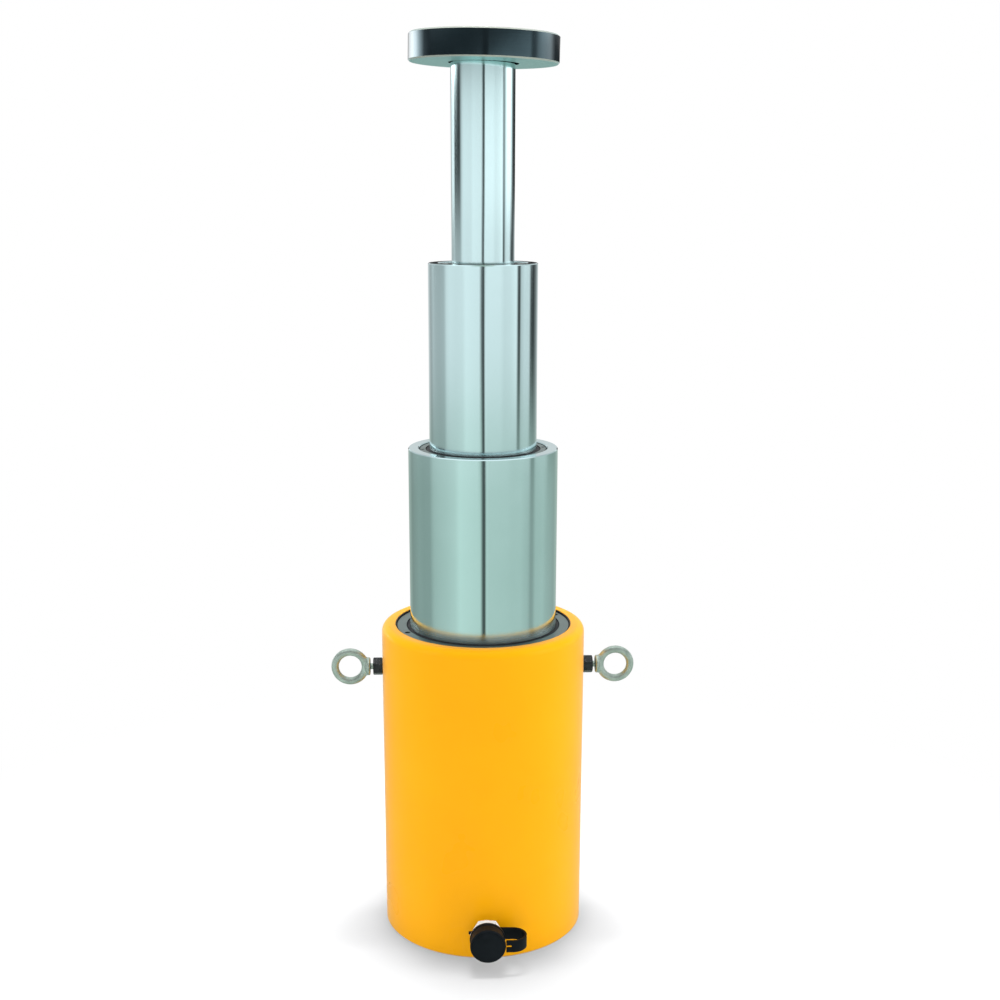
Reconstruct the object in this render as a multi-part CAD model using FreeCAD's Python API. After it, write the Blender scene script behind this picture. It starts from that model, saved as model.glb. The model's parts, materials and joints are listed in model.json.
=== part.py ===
import FreeCAD, Part
import math
import os

# Three-stage telescopic hydraulic cylinder, standing upright and fully extended.
# Millimetres. The origin is the centre of the base's underside and +Z points up the ram.
# The oil inlet faces -Y and the two lifting eyes stand on the X axis.

Vector = FreeCAD.Vector
ORIGIN = Vector(0, 0, 0)
X_AXIS = Vector(1, 0, 0)
Y_AXIS = Vector(0, 1, 0)
Z_AXIS = Vector(0, 0, 1)

# Clearances
RUN_GAP = 0.3  # between parts that slide on each other
FIT_GAP = 0.1  # between parts that are screwed or set into each other
STEM_GAP = 0.05  # radial running fit of the saddle seat's stem
OVERRUN = 1.0  # how far a cutting shape passes the face it cuts, and joined shapes overlap
SAME = 0.01  # lengths closer than this are taken as equal

# Stroke
STAGE_STROKE = 195.0  # each of the three stages
PISTON_PARK_HEIGHT = 40.0  # underside of every piston when the ram is closed

# Outer body
BODY_RADIUS = 115.0
BODY_HEIGHT = 362.0
BODY_BORE_RADIUS = 95.0
BODY_RING_RADIUS = 98.75
BODY_RING_RECESS = 2.2  # the stop ring lies this far below the body's rim
BODY_RIM_ROUND = 9.0
BODY_FOOT_CHAMFER = 2.0
RIM_CHAMFER = 1.2  # inner edge of each rim, where the stop ring enters

# Tubes and plunger
FIRST_RADIUS = 82.5
FIRST_BORE_RADIUS = 69.0
FIRST_RING_RADIUS = 70.7
FIRST_TOP = 563.0
SECOND_RADIUS = 59.0
SECOND_BORE_RADIUS = 46.0
SECOND_RING_RADIUS = 47.8
SECOND_TOP = 762.0
PLUNGER_RADIUS = 33.75
PLUNGER_TOP = 965.5
TUBE_RIM_CHAMFER = 1.0
TUBE_RING_RECESS = 1.4

# Stop rings
STOP_RING_LENGTH = 60.0
RING_ROD_GAP = 0.6  # radial, the guide band carries the rod and not the ring
WIPER_WIDTH = 4.2
WIPER_DEPTH = 6.5
WIPER_LIP = 1.6  # width of the lip's foot
WIPER_LIP_TIP = 0.5
WIPER_LIP_RISE = 0.6  # the lip's tip above the stop ring
WIPER_LIP_HEIGHT = 2.0  # of the face that rubs on the rod
WIPER_RELIEF = 0.8  # behind that face
WIPER_SINK = 0.4  # the wiper's flat top below the stop ring's
WIPER_CHAMFER = 0.8
BAND_THICKNESS = 2.5
BAND_HEIGHT = 16.0
BAND_SPLIT = 2.0  # gap where a guide band's ends meet
BAND_SPLIT_SLANT = 30.0
RING_BAND_DROP = 16.0  # top of the guide band below the top of its stop ring
STOP_RING_CHAMFER = 1.2
SPANNER_HOLE_DEPTH = 8.0
BODY_SPANNER_HOLES = (3.0, 91.4, 21.0)  # hole radius, circle radius and turn in degrees
FIRST_SPANNER_HOLES = (2.0, 66.8, 4.0)
SECOND_SPANNER_HOLES = (2.0, 42.8, 30.0)

# Pistons
PISTON_LIP = 8.0  # height of the shoulder that the tube's end rests on
SEAL_DEPTH = 6.0
SEAL_HEIGHT = 10.0
SEAL_RISE = 12.0  # seal groove above the piston's underside
SEAL_NOTCH = 4.0
SEAL_LIP = 1.2  # width of each lip's end
PISTON_BAND_RISE = 32.0
PISTON_CHAMFER = 1.5
PLUNGER_LIP_RADIUS = 20.0

# Base
PLUG_THICKNESS = 28.0
PLUG_BOSS_RADIUS = 80.0
BOSS_SLOT_WIDTH = 8.0
BOSS_SLOT_DEPTH = 5.0
BOSS_SLOT_TURNS = (45.0, 135.0)
BASE_SEAL_RADIUS = 2.2
BASE_SEAL_HEIGHT = 21.0
BASE_BOLT_COUNT = 4
BASE_BOLT_CIRCLE_RADIUS = 75.0
BASE_BOLT_RADIUS = 5.1
BASE_BOLT_DEPTH = 18.0
BASE_BOLT_TURN = 45.0

# Lifting eyes
EYE_HEIGHT = 310.0
EYE_CENTRE = 152.0  # from the ram's axis to the middle of the ring
EYE_RING_RADIUS = 17.25
EYE_SECTION_RADIUS = 4.25
EYE_COLLAR_RADIUS = 10.25
EYE_COLLAR_SEAT = 129.0
EYE_COLLAR_THICKNESS = 3.5
EYE_COLLAR_CHAMFER = 1.0
EYE_COLLAR_SLOPE = 3.0  # height of the cone between the collar and the web
EYE_WEB_THICKNESS = 7.0
EYE_WEB_START = 130.5
EYE_UNDERCUT_RADIUS = 3.4  # of the neck between the collar and the thread
EYE_UNDERCUT_END = 125.0
EYE_STUD_RADIUS = 5.0
EYE_STUD_END = 104.0
EYE_HOLE_END = 102.5
NUT_ACROSS_FLATS = 18.0
NUT_THICKNESS = 10.6
HEXAGON_CHAMFER_SLOPE = 0.5  # drop for each millimetre outwards, on every hexagon

# Oil inlet and quick coupler; distances called "out" are measured from the body's side
INLET_HEIGHT = 35.9
INLET_BORE_RADIUS = 4.0
INLET_THREAD_RADIUS = 8.5
INLET_THREAD_DEPTH = 14.0
SPOT_FACE_RADIUS = 14.0
SPOT_FACE_DEPTH = 0.9
ADAPTER_COLLAR_RADIUS = 11.4
ADAPTER_COLLAR_END = 3.6
ADAPTER_COLLAR_CHAMFER = 0.8
ADAPTER_NECK_RADIUS = 10.0
HEX_START = 9.6
HEX_END = 19.2
HEX_ACROSS_FLATS = 33.0
BARREL_RADIUS = 14.5
BARREL_CHAMFER = 1.0
BARREL_END = 37.0
CAVITY_START = 19.4
CAVITY_RADIUS = 8.2
CAVITY_END = 31.9
MOUTH_RADIUS = 6.0
POPPET_FLANGE_START = 29.0
POPPET_FLANGE_RADIUS = 7.7
POPPET_FLANGE_THICKNESS = 2.6
POPPET_NOSE_RADIUS = 4.2
POPPET_NOSE_END = 35.8
POPPET_NOSE_ROUND = 1.2
POPPET_STEM_RADIUS = 2.6
POPPET_STEM_START = 24.0
SPRING_RADIUS = 5.6
SPRING_WIRE_RADIUS = 0.6
SPRING_TURNS = 5

# Dust cap and its strap
CAP_RADIUS = 19.7
CAP_WAIST_RADIUS = 18.9
CAP_START = 19.8
CAP_END = 40.0
CAP_FLANGE = 5.0
CAP_FLANGE_ROUND = 1.5
CAP_FACE_THICKNESS = 2.5
CAP_EDGE_ROUND = 1.5
CAP_FACE_STEP_RADIUS = 16.6
CAP_FACE_STEP = 0.5
STRAP_RING_RADIUS = 13.6
STRAP_RING_START = 4.4
STRAP_RING_END = 8.8
STRAP_HEIGHT = 14.0
STRAP_DROP = 1.2  # the band's middle below the coupler's axis
STRAP_THICKNESS = 2.2
STRAP_BACK = 6.6  # middle of the leg behind the coupler
STRAP_FRONT = 36.0  # middle of the leg that meets the cap
STRAP_REACH = 43.5
STRAP_ROOT = 11.4  # where the band starts inside its ring
STRAP_SLOT_START = 20.4
STRAP_SLOT_END = 26.0
STRAP_SLOT_HEIGHT = 2.6
STRAP_LUG_RADIUS = 20.6
STRAP_LUG_WIDTH = 3.5

# Saddle and its domed seat
SADDLE_RADIUS = 78.5
SADDLE_BOTTOM = 964.0
SADDLE_TOP = 992.0
SADDLE_CHAMFER = 1.5
SADDLE_REST_TILT = 1.3  # degrees about +Y, as the loose saddle settles on its dome
SADDLE_RECESS_RADIUS = 36.9
SADDLE_RECESS_DEPTH = 5.5
SADDLE_SOCKET_RADIUS = 28.2
SADDLE_GROOVE_COUNT = 5
SADDLE_GROOVE_FIRST = 22.0
SADDLE_GROOVE_PITCH = 11.0
SADDLE_GROOVE_WIDTH = 1.6
SADDLE_GROOVE_DEPTH = 0.8
DOME_RADIUS = 50.0
DOME_CENTRE = 935.0
DOME_EDGE_RADIUS = 24.0
DOME_EDGE_UNDERSIDE = 975.5
DOME_EDGE_ROUND = 0.8
SEAT_NECK_RADIUS = 16.0
SEAT_STEM_RADIUS = 12.0
SEAT_STEM_END = 930.0
SEAT_RING_HEIGHT = 941.5
SEAT_RING_SECTION = 1.5
SEAT_BORE_END = 926.0
SNAP_RING_INNER = 19.7
SNAP_RING_OUTER = 30.4
SNAP_RING_BOTTOM = 971.0
SNAP_RING_THICKNESS = 2.0
SNAP_RING_GROOVE_RADIUS = 31.0
SNAP_RING_MOUTH = 9.0

# Derived heights
BOSS_TOP = PISTON_PARK_HEIGHT - RUN_GAP
BODY_RING_TOP = BODY_HEIGHT - BODY_RING_RECESS
FIRST_RING_TOP = FIRST_TOP - TUBE_RING_RECESS
SECOND_RING_TOP = SECOND_TOP - TUBE_RING_RECESS
FIRST_PISTON_BOTTOM = PISTON_PARK_HEIGHT + STAGE_STROKE
SECOND_PISTON_BOTTOM = FIRST_PISTON_BOTTOM + STAGE_STROKE
PLUNGER_PISTON_BOTTOM = SECOND_PISTON_BOTTOM + STAGE_STROKE


# Basic shapes


def disc(radius, low, high):
    """A solid cylinder on the ram's axis."""
    return Part.makeCylinder(radius, high - low, Vector(0, 0, low))


def tube(inner, outer, low, high):
    """A hollow cylinder on the ram's axis."""
    return disc(outer, low, high).cut(disc(inner, low, high))


def lathe(outline):
    """The closed outline of (radius, height) points, turned about the ram's axis."""
    points = [Vector(radius, 0, height) for radius, height in outline]
    wire = Part.makePolygon(points + points[:1])
    return Part.Face(wire).revolve(ORIGIN, Z_AXIS, 360)


def edges_at(shape, height, radius):
    """The circular edges at one height and radius."""
    found = []
    for edge in shape.Edges:
        if edge.Degenerated:
            continue
        curve = edge.Curve
        if isinstance(curve, Part.Circle) and abs(curve.Radius - radius) < SAME:
            if abs(curve.Center.z - height) < SAME:
                found.append(edge)
    return found


def outward(shape):
    """Turns a shape made up the Z axis so that its +Z points out of the inlet, towards -Y."""
    moved = shape.copy()
    moved.rotate(ORIGIN, X_AXIS, 90)
    moved.translate(Vector(0, -BODY_RADIUS, INLET_HEIGHT))
    return moved


def hexagon(across_flats, low, high):
    """A hexagonal bar on the Z axis with two flats parallel to X and both ends turned to a chamfer."""
    corner_radius = across_flats / math.sqrt(3)
    corners = []
    for index in range(6):
        angle = math.radians(60 * index)
        corners.append(Vector(corner_radius * math.cos(angle), corner_radius * math.sin(angle), low))
    bar = Part.Face(Part.makePolygon(corners + corners[:1])).extrude(Vector(0, 0, high - low))
    flat = across_flats / 2
    wide = corner_radius + OVERRUN
    drop = (wide - flat) * HEXAGON_CHAMFER_SLOPE
    blank = [(0, low), (flat, low), (wide, low + drop), (wide, high - drop), (flat, high), (0, high)]
    return bar.common(lathe(blank))


def export(name, shape):
    """Writes one piece."""
    shape.exportStep(f"parts/{name}.step")


# Packings shared by the stop rings and pistons


def split_band(inner, outer, low, high):
    """A guide band: a flat ring with a slanted gap where its ends meet."""
    band = tube(inner, outer, low, high)
    gap = Part.makeBox(BAND_SPLIT, outer, (high - low) * 2, Vector(0, 0, low - (high - low) / 2))
    gap.rotate(Vector(0, 0, (low + high) / 2), Y_AXIS, BAND_SPLIT_SLANT)
    return band.cut(gap)


def wiper(rod_radius, top):
    """A scraper ring whose lip stands just proud of its groove."""
    inner = rod_radius + RUN_GAP
    outer = rod_radius + WIPER_WIDTH - FIT_GAP
    bottom = top - WIPER_DEPTH + FIT_GAP
    flat = top - WIPER_SINK
    tip = top + WIPER_LIP_RISE
    lip_foot = tip - WIPER_LIP_HEIGHT
    return lathe(
        [
            (inner + WIPER_RELIEF, bottom),
            (outer, bottom),
            (outer, flat - WIPER_CHAMFER),
            (outer - WIPER_CHAMFER, flat),
            (inner + WIPER_LIP, flat),
            (inner + WIPER_LIP_TIP, tip),
            (inner, tip),
            (inner, lip_foot),
            (inner + WIPER_RELIEF, lip_foot - 2 * WIPER_RELIEF),
        ]
    )


def stop_ring(rod_radius, outer_radius, top, spanner_holes):
    """A screwed-in ring that stops a piston, with grooves for a wiper and a guide band."""
    bottom = top - STOP_RING_LENGTH
    outer = outer_radius - FIT_GAP
    ring = tube(rod_radius + RING_ROD_GAP, outer, bottom, top)
    ring = ring.makeChamfer(STOP_RING_CHAMFER, edges_at(ring, top, outer))
    ring = ring.cut(disc(rod_radius + WIPER_WIDTH, top - WIPER_DEPTH, top))
    band_top = top - RING_BAND_DROP
    groove = disc(rod_radius + RUN_GAP + BAND_THICKNESS + FIT_GAP, band_top - BAND_HEIGHT, band_top)
    ring = ring.cut(groove)
    hole_radius, hole_circle, hole_turn = spanner_holes
    for side in (0, 180):
        angle = math.radians(hole_turn + side)
        place = Vector(hole_circle * math.cos(angle), hole_circle * math.sin(angle), top - SPANNER_HOLE_DEPTH)
        ring = ring.cut(Part.makeCylinder(hole_radius, SPANNER_HOLE_DEPTH, place))
    return ring


def stop_ring_set(prefix, rod_radius, outer_radius, top, spanner_holes):
    """A stop ring with its wiper and guide band."""
    ring = stop_ring(rod_radius, outer_radius, top, spanner_holes)
    band_top = top - RING_BAND_DROP - FIT_GAP
    band_bottom = top - RING_BAND_DROP - BAND_HEIGHT + FIT_GAP
    band_inner = rod_radius + RUN_GAP
    export(f"{prefix}_stop_ring", ring)
    export(f"{prefix}_wiper", wiper(rod_radius, top))
    export(f"{prefix}_ring_band", split_band(band_inner, band_inner + BAND_THICKNESS, band_bottom, band_top))


def piston_set(prefix, tube_radius, lip_radius, bore_radius, bottom, top):
    """A piston ring screwed on the end of a tube or rod, with its seal and guide band."""
    outer = bore_radius - RUN_GAP
    inner = tube_radius + FIT_GAP
    piston = tube(lip_radius, outer, bottom, bottom + PISTON_LIP)
    piston = piston.fuse(tube(inner, outer, bottom + PISTON_LIP, top)).removeSplitter()
    piston = piston.makeChamfer(PISTON_CHAMFER, edges_at(piston, bottom, outer))
    seal_low = bottom + SEAL_RISE
    seal_high = seal_low + SEAL_HEIGHT
    band_low = bottom + PISTON_BAND_RISE
    band_high = band_low + BAND_HEIGHT
    piston = piston.cut(tube(outer - SEAL_DEPTH, outer + OVERRUN, seal_low, seal_high))
    piston = piston.cut(tube(outer - BAND_THICKNESS, outer + OVERRUN, band_low, band_high))
    seal_inner = outer - SEAL_DEPTH + FIT_GAP
    seal_middle = (seal_inner + outer) / 2
    seal = lathe(
        [
            (seal_inner, seal_low + FIT_GAP),
            (seal_inner + SEAL_LIP, seal_low + FIT_GAP),
            (seal_middle, seal_low + FIT_GAP + SEAL_NOTCH),
            (outer - SEAL_LIP, seal_low + FIT_GAP),
            (outer, seal_low + FIT_GAP),
            (outer, seal_high - FIT_GAP),
            (seal_inner, seal_high - FIT_GAP),
        ]
    )
    band_inner = outer - BAND_THICKNESS + FIT_GAP
    export(f"{prefix}_piston", piston)
    export(f"{prefix}_piston_seal", seal)
    export(f"{prefix}_piston_band", split_band(band_inner, outer, band_low + FIT_GAP, band_high - FIT_GAP))


# Outer body and base


def cylinder_body():
    """The painted barrel: bored through, counterbored for its stop ring, drilled for the inlet and eyes."""
    barrel = disc(BODY_RADIUS, 0, BODY_HEIGHT)
    barrel = barrel.makeFillet(BODY_RIM_ROUND, edges_at(barrel, BODY_HEIGHT, BODY_RADIUS))
    barrel = barrel.makeChamfer(BODY_FOOT_CHAMFER, edges_at(barrel, 0, BODY_RADIUS))
    ring_bottom = BODY_RING_TOP - STOP_RING_LENGTH
    barrel = barrel.cut(disc(BODY_BORE_RADIUS, 0, BODY_HEIGHT))
    barrel = barrel.cut(disc(BODY_RING_RADIUS, ring_bottom, BODY_HEIGHT))
    barrel = barrel.makeChamfer(RIM_CHAMFER, edges_at(barrel, BODY_HEIGHT, BODY_RING_RADIUS))
    thread = disc(INLET_THREAD_RADIUS + FIT_GAP, -INLET_THREAD_DEPTH - OVERRUN, OVERRUN)
    passage = disc(INLET_BORE_RADIUS, BODY_BORE_RADIUS - BODY_RADIUS - OVERRUN, OVERRUN)
    spot_face = disc(SPOT_FACE_RADIUS, -SPOT_FACE_DEPTH, OVERRUN)
    for cutter in (thread, passage, spot_face):
        barrel = barrel.cut(outward(cutter))
    for side in (-1, 1):
        hole = Part.makeCylinder(
            EYE_STUD_RADIUS + FIT_GAP,
            BODY_RADIUS - EYE_HOLE_END + OVERRUN,
            Vector(side * EYE_HOLE_END, 0, EYE_HEIGHT),
            Vector(side, 0, 0),
        )
        barrel = barrel.cut(hole)
    return barrel


def base_plug():
    """The screwed-in bottom: a seal groove, a slotted boss that the pistons park on, tapped holes below."""
    outer = BODY_BORE_RADIUS - FIT_GAP
    plug = disc(outer, 0, PLUG_THICKNESS).fuse(disc(PLUG_BOSS_RADIUS, PLUG_THICKNESS, BOSS_TOP))
    plug = plug.removeSplitter()
    half_groove = BASE_SEAL_RADIUS + FIT_GAP
    groove = tube(
        outer - 2 * BASE_SEAL_RADIUS,
        outer + OVERRUN,
        BASE_SEAL_HEIGHT - half_groove,
        BASE_SEAL_HEIGHT + half_groove,
    )
    plug = plug.cut(groove)
    slot_length = 2 * (PLUG_BOSS_RADIUS + OVERRUN)
    for turn in BOSS_SLOT_TURNS:
        slot = Part.makeBox(
            slot_length,
            BOSS_SLOT_WIDTH,
            BOSS_SLOT_DEPTH,
            Vector(-slot_length / 2, -BOSS_SLOT_WIDTH / 2, BOSS_TOP - BOSS_SLOT_DEPTH),
        )
        slot.rotate(ORIGIN, Z_AXIS, turn)
        plug = plug.cut(slot)
    for index in range(BASE_BOLT_COUNT):
        angle = math.radians(BASE_BOLT_TURN + index * 360 / BASE_BOLT_COUNT)
        place = Vector(
            BASE_BOLT_CIRCLE_RADIUS * math.cos(angle),
            BASE_BOLT_CIRCLE_RADIUS * math.sin(angle),
            0,
        )
        plug = plug.cut(Part.makeCylinder(BASE_BOLT_RADIUS, BASE_BOLT_DEPTH, place))
    return plug


def base_seal():
    """The O-ring round the plug."""
    outer = BODY_BORE_RADIUS - FIT_GAP
    return Part.makeTorus(outer - BASE_SEAL_RADIUS, BASE_SEAL_RADIUS - FIT_GAP, Vector(0, 0, BASE_SEAL_HEIGHT))


# Stages


def stage_tube(radius, bore_radius, ring_radius, ring_top, bottom, top):
    """A chromed tube, counterbored at the top for its stop ring."""
    wall = tube(bore_radius, radius, bottom, top)
    wall = wall.cut(disc(ring_radius, ring_top - STOP_RING_LENGTH, top))
    wall = wall.makeChamfer(TUBE_RIM_CHAMFER, edges_at(wall, top, radius) + edges_at(wall, top, ring_radius))
    return wall


def plunger_rod():
    """The solid innermost rod, bored at the top for the saddle seat's stem."""
    rod = disc(PLUNGER_RADIUS, PLUNGER_PISTON_BOTTOM + PISTON_LIP, PLUNGER_TOP)
    rod = rod.makeChamfer(TUBE_RIM_CHAMFER, edges_at(rod, PLUNGER_TOP, PLUNGER_RADIUS))
    rod = rod.cut(disc(SEAT_STEM_RADIUS + STEM_GAP, SEAT_BORE_END, PLUNGER_TOP))
    ring_half_height = SEAT_RING_SECTION + RUN_GAP
    groove_radius = SEAT_STEM_RADIUS + SEAT_RING_SECTION + RUN_GAP
    low = SEAT_RING_HEIGHT - ring_half_height
    high = SEAT_RING_HEIGHT + ring_half_height
    return rod.cut(disc(groove_radius, low, high))


# Saddle


def saddle_seat():
    """The mushroom-shaped seat: a stem that turns in the plunger and a domed head that the saddle rocks on."""
    bottom = PLUNGER_TOP + RUN_GAP
    rim_rise = math.sqrt(DOME_RADIUS**2 - DOME_EDGE_RADIUS**2)
    stem = disc(SEAT_STEM_RADIUS, SEAT_STEM_END, bottom)
    neck = disc(SEAT_NECK_RADIUS, bottom, DOME_EDGE_UNDERSIDE)
    head = disc(DOME_EDGE_RADIUS, DOME_EDGE_UNDERSIDE, DOME_CENTRE + DOME_RADIUS)
    head = head.common(Part.makeSphere(DOME_RADIUS, Vector(0, 0, DOME_CENTRE)))
    seat = stem.fuse([neck, head]).removeSplitter()
    seat = seat.makeFillet(DOME_EDGE_ROUND, edges_at(seat, DOME_CENTRE + rim_rise, DOME_EDGE_RADIUS))
    return seat.cut(seat_ring(SEAT_RING_SECTION + FIT_GAP))


def seat_ring(section):
    """The round-wire ring that keeps the stem in the plunger."""
    return Part.makeTorus(SEAT_STEM_RADIUS, section, Vector(0, 0, SEAT_RING_HEIGHT))


def settled(shape):
    """Rocks a saddle piece about the dome's centre to the angle it rests at."""
    moved = shape.copy()
    moved.rotate(Vector(0, 0, DOME_CENTRE), Y_AXIS, SADDLE_REST_TILT)
    return moved


def saddle():
    """The load plate: a dished socket and snap-ring groove below, turned grip grooves on top."""
    plate = disc(SADDLE_RADIUS, SADDLE_BOTTOM, SADDLE_TOP)
    rims = edges_at(plate, SADDLE_TOP, SADDLE_RADIUS) + edges_at(plate, SADDLE_BOTTOM, SADDLE_RADIUS)
    plate = plate.makeChamfer(SADDLE_CHAMFER, rims)
    ceiling = SADDLE_BOTTOM + SADDLE_RECESS_DEPTH
    plate = plate.cut(disc(SADDLE_RECESS_RADIUS, SADDLE_BOTTOM, ceiling))
    socket = disc(SADDLE_SOCKET_RADIUS, SADDLE_BOTTOM, SADDLE_TOP)
    socket = socket.common(Part.makeSphere(DOME_RADIUS + RUN_GAP, Vector(0, 0, DOME_CENTRE)))
    plate = plate.cut(socket)
    groove_low = SNAP_RING_BOTTOM - FIT_GAP
    groove_high = SNAP_RING_BOTTOM + SNAP_RING_THICKNESS + FIT_GAP
    plate = plate.cut(disc(SNAP_RING_GROOVE_RADIUS, groove_low, groove_high))
    for index in range(SADDLE_GROOVE_COUNT):
        inner = SADDLE_GROOVE_FIRST + index * SADDLE_GROOVE_PITCH
        groove = tube(inner, inner + SADDLE_GROOVE_WIDTH, SADDLE_TOP - SADDLE_GROOVE_DEPTH, SADDLE_TOP)
        plate = plate.cut(groove)
    return settled(plate)


def saddle_snap_ring():
    """The flat ring that keeps the saddle on its dome, open at one side."""
    top = SNAP_RING_BOTTOM + SNAP_RING_THICKNESS
    ring = tube(SNAP_RING_INNER, SNAP_RING_OUTER, SNAP_RING_BOTTOM, top)
    mouth = Part.makeBox(
        SNAP_RING_MOUTH,
        SNAP_RING_OUTER + OVERRUN,
        SNAP_RING_THICKNESS,
        Vector(-SNAP_RING_MOUTH / 2, 0, SNAP_RING_BOTTOM),
    )
    return settled(ring.cut(mouth))


# Lifting eyes


def sideways(shape, side):
    """Turns a shape made up the Z axis so that its +Z points out along X at the eyes' height."""
    moved = shape.copy()
    moved.rotate(ORIGIN, Y_AXIS, side * 90)
    moved.translate(Vector(0, 0, EYE_HEIGHT))
    return moved


def lifting_eye(side):
    """A forged eye bolt: stud, undercut neck, collar, tapered web and round ring, in one piece."""
    collar_end = EYE_COLLAR_SEAT + EYE_COLLAR_THICKNESS
    web_half = EYE_COLLAR_RADIUS - EYE_COLLAR_CHAMFER
    stem = disc(EYE_STUD_RADIUS, EYE_STUD_END, EYE_UNDERCUT_END)
    neck = disc(EYE_UNDERCUT_RADIUS, EYE_UNDERCUT_END, EYE_COLLAR_SEAT)
    collar = lathe(
        [
            (0, EYE_COLLAR_SEAT),
            (web_half, EYE_COLLAR_SEAT),
            (EYE_COLLAR_RADIUS, EYE_COLLAR_SEAT + EYE_COLLAR_CHAMFER),
            (EYE_COLLAR_RADIUS, collar_end - EYE_COLLAR_CHAMFER),
            (EYE_WEB_THICKNESS / 2 + EYE_COLLAR_CHAMFER, collar_end + EYE_COLLAR_SLOPE),
            (0, collar_end + EYE_COLLAR_SLOPE),
        ]
    )
    outer = EYE_RING_RADIUS + EYE_SECTION_RADIUS
    reach = EYE_CENTRE - EYE_COLLAR_SEAT
    lean = math.asin(outer / math.hypot(reach, EYE_COLLAR_RADIUS)) - math.atan2(EYE_COLLAR_RADIUS, reach)
    shoulder_half = outer * math.cos(lean) - EYE_COLLAR_CHAMFER
    shoulder_place = EYE_CENTRE - outer * math.sin(lean)
    corners = [
        Vector(-web_half, -EYE_WEB_THICKNESS / 2, EYE_WEB_START),
        Vector(web_half, -EYE_WEB_THICKNESS / 2, EYE_WEB_START),
        Vector(shoulder_half, -EYE_WEB_THICKNESS / 2, shoulder_place),
        Vector(-shoulder_half, -EYE_WEB_THICKNESS / 2, shoulder_place),
    ]
    web = Part.Face(Part.makePolygon(corners + corners[:1])).extrude(Vector(0, EYE_WEB_THICKNESS, 0))
    centre = Vector(0, 0, EYE_CENTRE)
    window = Part.makeCylinder(EYE_RING_RADIUS, 4 * outer, centre - Y_AXIS * 2 * outer, Y_AXIS)
    ring = Part.makeTorus(EYE_RING_RADIUS, EYE_SECTION_RADIUS, centre, Y_AXIS)
    eye = stem.fuse([neck, collar, web]).cut(window).fuse(ring)
    return sideways(eye, side)


def eye_lock_nut(side):
    """The nut that locks an eye bolt against the body."""
    start = BODY_RADIUS + FIT_GAP / 2
    nut = hexagon(NUT_ACROSS_FLATS, start, start + NUT_THICKNESS)
    nut = nut.cut(disc(EYE_STUD_RADIUS + FIT_GAP, start, start + NUT_THICKNESS))
    return sideways(nut, side)


# Oil inlet, quick coupler and dust cap


def inlet_adapter():
    """The nipple that screws into the body and carries the coupler."""
    seat = -SPOT_FACE_DEPTH + FIT_GAP / 2
    nipple = disc(INLET_THREAD_RADIUS, -INLET_THREAD_DEPTH, seat)
    collar = disc(ADAPTER_COLLAR_RADIUS, seat, ADAPTER_COLLAR_END)
    collar_rim = edges_at(collar, ADAPTER_COLLAR_END, ADAPTER_COLLAR_RADIUS)
    collar = collar.makeChamfer(ADAPTER_COLLAR_CHAMFER, collar_rim)
    neck = disc(ADAPTER_NECK_RADIUS, ADAPTER_COLLAR_END, HEX_START)
    adapter = nipple.fuse([collar, neck]).removeSplitter()
    return outward(adapter.cut(disc(INLET_BORE_RADIUS, -INLET_THREAD_DEPTH, HEX_START)))


def coupler_body():
    """The female coupler half: a hexagon, a plain barrel, a valve chamber and a mouth."""
    start = HEX_START + FIT_GAP / 2
    hexagon_part = hexagon(HEX_ACROSS_FLATS, start, HEX_END)
    barrel = disc(BARREL_RADIUS, HEX_END, BARREL_END)
    barrel = barrel.makeChamfer(BARREL_CHAMFER, edges_at(barrel, BARREL_END, BARREL_RADIUS))
    body = hexagon_part.fuse(barrel).removeSplitter()
    body = body.cut(disc(INLET_BORE_RADIUS, start, CAVITY_START))
    body = body.cut(disc(CAVITY_RADIUS, CAVITY_START, CAVITY_END))
    body = body.cut(disc(MOUTH_RADIUS, CAVITY_END, BARREL_END))
    return outward(body)


def coupler_poppet():
    """The valve poppet: a guide stem, a sealing flange and a nose that the hose's half pushes in."""
    flange_end = POPPET_FLANGE_START + POPPET_FLANGE_THICKNESS
    stem = disc(POPPET_STEM_RADIUS, POPPET_STEM_START, POPPET_FLANGE_START)
    flange = disc(POPPET_FLANGE_RADIUS, POPPET_FLANGE_START, flange_end)
    nose = disc(POPPET_NOSE_RADIUS, flange_end, POPPET_NOSE_END)
    nose = nose.makeFillet(POPPET_NOSE_ROUND, edges_at(nose, POPPET_NOSE_END, POPPET_NOSE_RADIUS))
    return outward(stem.fuse([flange, nose]).removeSplitter())


def coupler_spring():
    """The coil spring behind the poppet."""
    low = CAVITY_START + SPRING_WIRE_RADIUS + FIT_GAP
    high = POPPET_FLANGE_START - SPRING_WIRE_RADIUS - RUN_GAP
    pitch = (high - low) / SPRING_TURNS
    helix = Part.makeHelix(pitch, high - low, SPRING_RADIUS)
    helix.translate(Vector(0, 0, low))
    section = Part.Wire(
        [Part.makeCircle(SPRING_WIRE_RADIUS, Vector(SPRING_RADIUS, 0, low), Vector(0, 1, 0))]
    )
    return outward(Part.Wire(helix).makePipeShell([section], True, True))


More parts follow.
